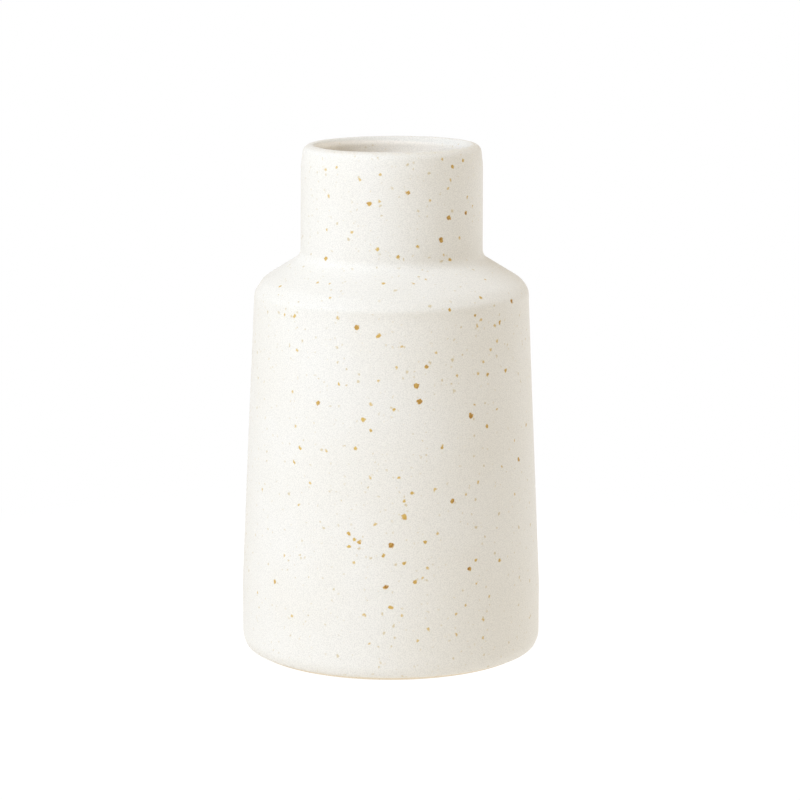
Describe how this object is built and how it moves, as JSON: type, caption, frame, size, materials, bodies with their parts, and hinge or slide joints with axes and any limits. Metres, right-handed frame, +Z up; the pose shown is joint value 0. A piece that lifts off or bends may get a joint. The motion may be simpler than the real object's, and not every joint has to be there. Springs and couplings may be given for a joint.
{
  "type": "stoneware vase",
  "caption": "Stoneware vase with a straight wide neck, rounded lip, sloping shoulder and slightly flared barrel, for cut or dried stems.",
  "frame": {"origin": "centre of the foot, on the surface that the vase stands on", "axes": "+Z up along the vase's axis; X and Y are free, because the vase is a solid of revolution"},
  "size_m": [0.1178, 0.1176, 0.2],
  "materials": {
    "bare_stoneware": "matte",
    "speckled_glaze": "matte",
    "liner_glaze": "satin"
  },
  "bodies": {
    "root": {"stoneware_body": "bare_stoneware", "outer_glaze": "speckled_glaze", "liner_glaze": "liner_glaze", "base_glaze": "speckled_glaze"}
  },
  "joints": []
}
